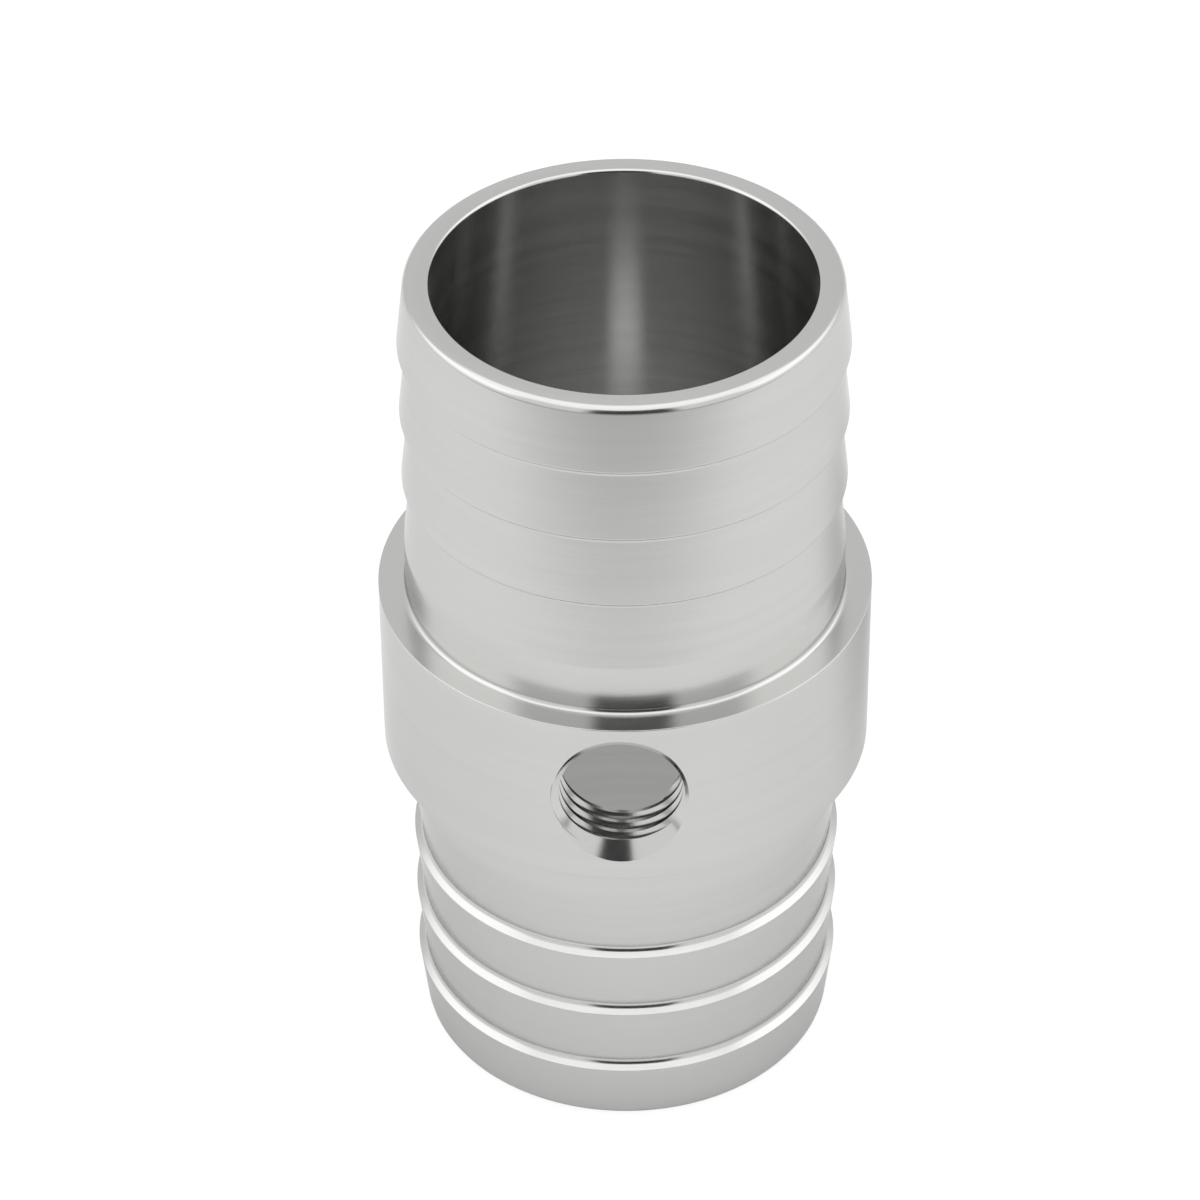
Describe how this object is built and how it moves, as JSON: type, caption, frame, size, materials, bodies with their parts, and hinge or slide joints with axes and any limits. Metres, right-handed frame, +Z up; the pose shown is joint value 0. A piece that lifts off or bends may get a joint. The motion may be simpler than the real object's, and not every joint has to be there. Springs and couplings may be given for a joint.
{
  "type": "hose barb adapter",
  "caption": "Straight metal hose coupling: a barbed end on either side of a plain collar, a bore right through, and a threaded port in the side of the collar.",
  "frame": {"origin": "centre of the lower end face, on the axis of the bore, so the part stands on Z = 0", "axes": "+Z up along the bore; -Y out of the threaded side port; +X to the right when looking at the port"},
  "size_m": [0.0508, 0.0508, 0.093],
  "materials": {
    "turned_metal": "bare metal, fine turned and satin"
  },
  "bodies": {
    "root": {"body": "turned_metal"}
  },
  "joints": []
}
